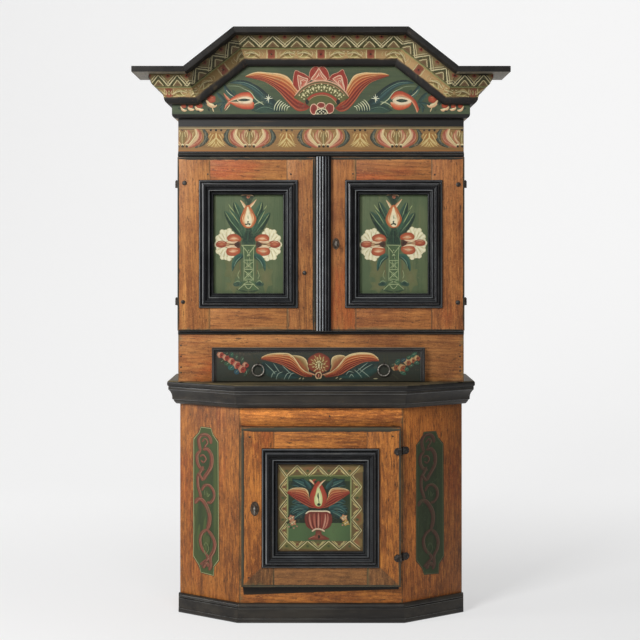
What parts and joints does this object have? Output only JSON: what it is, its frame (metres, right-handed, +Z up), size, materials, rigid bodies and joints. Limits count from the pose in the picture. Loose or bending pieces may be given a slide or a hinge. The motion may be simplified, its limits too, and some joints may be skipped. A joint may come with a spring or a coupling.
{
  "type": "kas cupboard",
  "caption": "Painted pine kas cupboard: canted base with a panelled door, set-back upper case with a drawer and paired panelled doors, broken-pediment crown under overhanging roof boards",
  "frame": {"origin": "middle of the footprint box, on the floor", "axes": "+X to the right along the front, +Y towards the wall behind, +Z up; the doors face -Y"},
  "size_m": [1.288, 0.444, 2.04],
  "materials": {
    "painted_pine": "stained and limewashed pine with worn painted ornament, satin",
    "black_pine": "black oil paint on pine, worn to the wood on the edges",
    "bare_pine": "bare planed pine, aged and dry",
    "wrought_iron": "hand-forged iron, dark and slightly rusted"
  },
  "bodies": {
    "carcass": {"base_side_boards": "painted_pine", "base_canted_boards": "painted_pine", "base_front_frame": "painted_pine", "base_floor": "bare_pine", "base_shelf": "bare_pine", "base_back_planks": "bare_pine", "waist_board": "black_pine", "waist_mouldings": "black_pine", "plinth_mouldings": "black_pine", "upper_side_boards": "painted_pine", "drawer_surround": "painted_pine", "case_beads": "black_pine", "dust_board": "bare_pine", "drawer_runners": "bare_pine", "upper_shelves": "bare_pine", "upper_top_board": "bare_pine", "upper_back_planks": "bare_pine", "frieze_board": "painted_pine", "tympanum_board": "painted_pine", "crown_side_boards": "painted_pine", "crown_inner_boards": "bare_pine", "cornice_centre": "painted_pine", "cornice_rakes": "painted_pine", "cornice_wings": "painted_pine", "cornice_returns": "painted_pine", "roof_boards": "black_pine", "upper_case_hinges": "wrought_iron", "base_hinges": "wrought_iron"},
    "left_door": {"left_door_stiles": "painted_pine", "left_door_rails": "painted_pine", "left_door_panel": "painted_pine", "left_door_moulding": "black_pine", "left_door_hinges": "wrought_iron", "left_door_latch_staples": "wrought_iron"},
    "right_door": {"right_door_stiles": "painted_pine", "right_door_rails": "painted_pine", "right_door_panel": "painted_pine", "right_door_moulding": "black_pine", "right_door_hinges": "wrought_iron", "right_door_astragal": "black_pine", "upper_lock": "wrought_iron"},
    "lower_door": {"lower_door_stiles": "painted_pine", "lower_door_rails": "painted_pine", "lower_door_panel": "painted_pine", "lower_door_moulding": "black_pine", "lower_door_hinges": "wrought_iron", "lower_lock": "wrought_iron"},
    "drawer": {"drawer_front": "painted_pine", "drawer_sides": "bare_pine", "drawer_back": "bare_pine", "drawer_bottom": "bare_pine", "drawer_strips": "black_pine", "drawer_ring_posts": "wrought_iron"},
    "left_ring": {"left_pull_ring": "wrought_iron"},
    "right_ring": {"right_pull_ring": "wrought_iron"},
    "upper_key": {"upper_key": "wrought_iron"},
    "upper_bolt": {"upper_lock_bolt": "wrought_iron"},
    "lower_key": {"lower_key": "wrought_iron"},
    "lower_bolt": {"lower_lock_bolt": "wrought_iron"},
    "left_latch": {"left_door_latch": "wrought_iron"}
  },
  "joints": [
    {"name": "left_door_hinge", "type": "hinge", "parent": "carcass", "child": "left_door", "pos_m": [-0.5053, -0.07815, 1.305], "axis": [0, 0, -1], "range_deg": [0, 170]},
    {"name": "right_door_hinge", "type": "hinge", "parent": "carcass", "child": "right_door", "pos_m": [0.5053, -0.07815, 1.305], "axis": [0, 0, 1], "range_deg": [0, 170]},
    {"name": "lower_door_hinge", "type": "hinge", "parent": "carcass", "child": "lower_door", "pos_m": [0.2821, -0.159, 0.4075], "axis": [0, 0, 1], "range_deg": [0, 125]},
    {"name": "drawer_slide", "type": "slide", "parent": "carcass", "child": "drawer", "axis": [0, -1, 0], "range_m": [0, 0.2]},
    {"name": "left_ring_swing", "type": "hinge", "parent": "drawer", "child": "left_ring", "pos_m": [-0.219, -0.1065, 0.8826], "axis": [-1, 0, 0], "range_deg": [0, 120]},
    {"name": "right_ring_swing", "type": "hinge", "parent": "drawer", "child": "right_ring", "pos_m": [0.219, -0.1065, 0.8826], "axis": [-1, 0, 0], "range_deg": [0, 120]},
    {"name": "upper_key_turn", "type": "hinge", "parent": "right_door", "child": "upper_key", "pos_m": [0.052, -0.09, 1.30275], "axis": [0, -1, 0], "range_deg": [0, 180]},
    {"name": "upper_bolt_slide", "type": "slide", "parent": "right_door", "child": "upper_bolt", "axis": [-1, 0, 0], "range_m": [0, 0.014]},
    {"name": "lower_key_turn", "type": "hinge", "parent": "lower_door", "child": "lower_key", "pos_m": [-0.227, -0.165, 0.395], "axis": [0, -1, 0], "range_deg": [0, 180]},
    {"name": "lower_bolt_slide", "type": "slide", "parent": "lower_door", "child": "lower_bolt", "axis": [-1, 0, 0], "range_m": [0, 0.014]},
    {"name": "left_latch_slide", "type": "slide", "parent": "left_door", "child": "left_latch", "axis": [0, 0, 1], "range_m": [0, 0.016]}
  ],
  "couplings": [
    {"joint": "upper_key_turn", "follows": "upper_bolt_slide", "rad_per_m": 224.39},
    {"joint": "lower_key_turn", "follows": "lower_bolt_slide", "rad_per_m": 224.39}
  ]
}
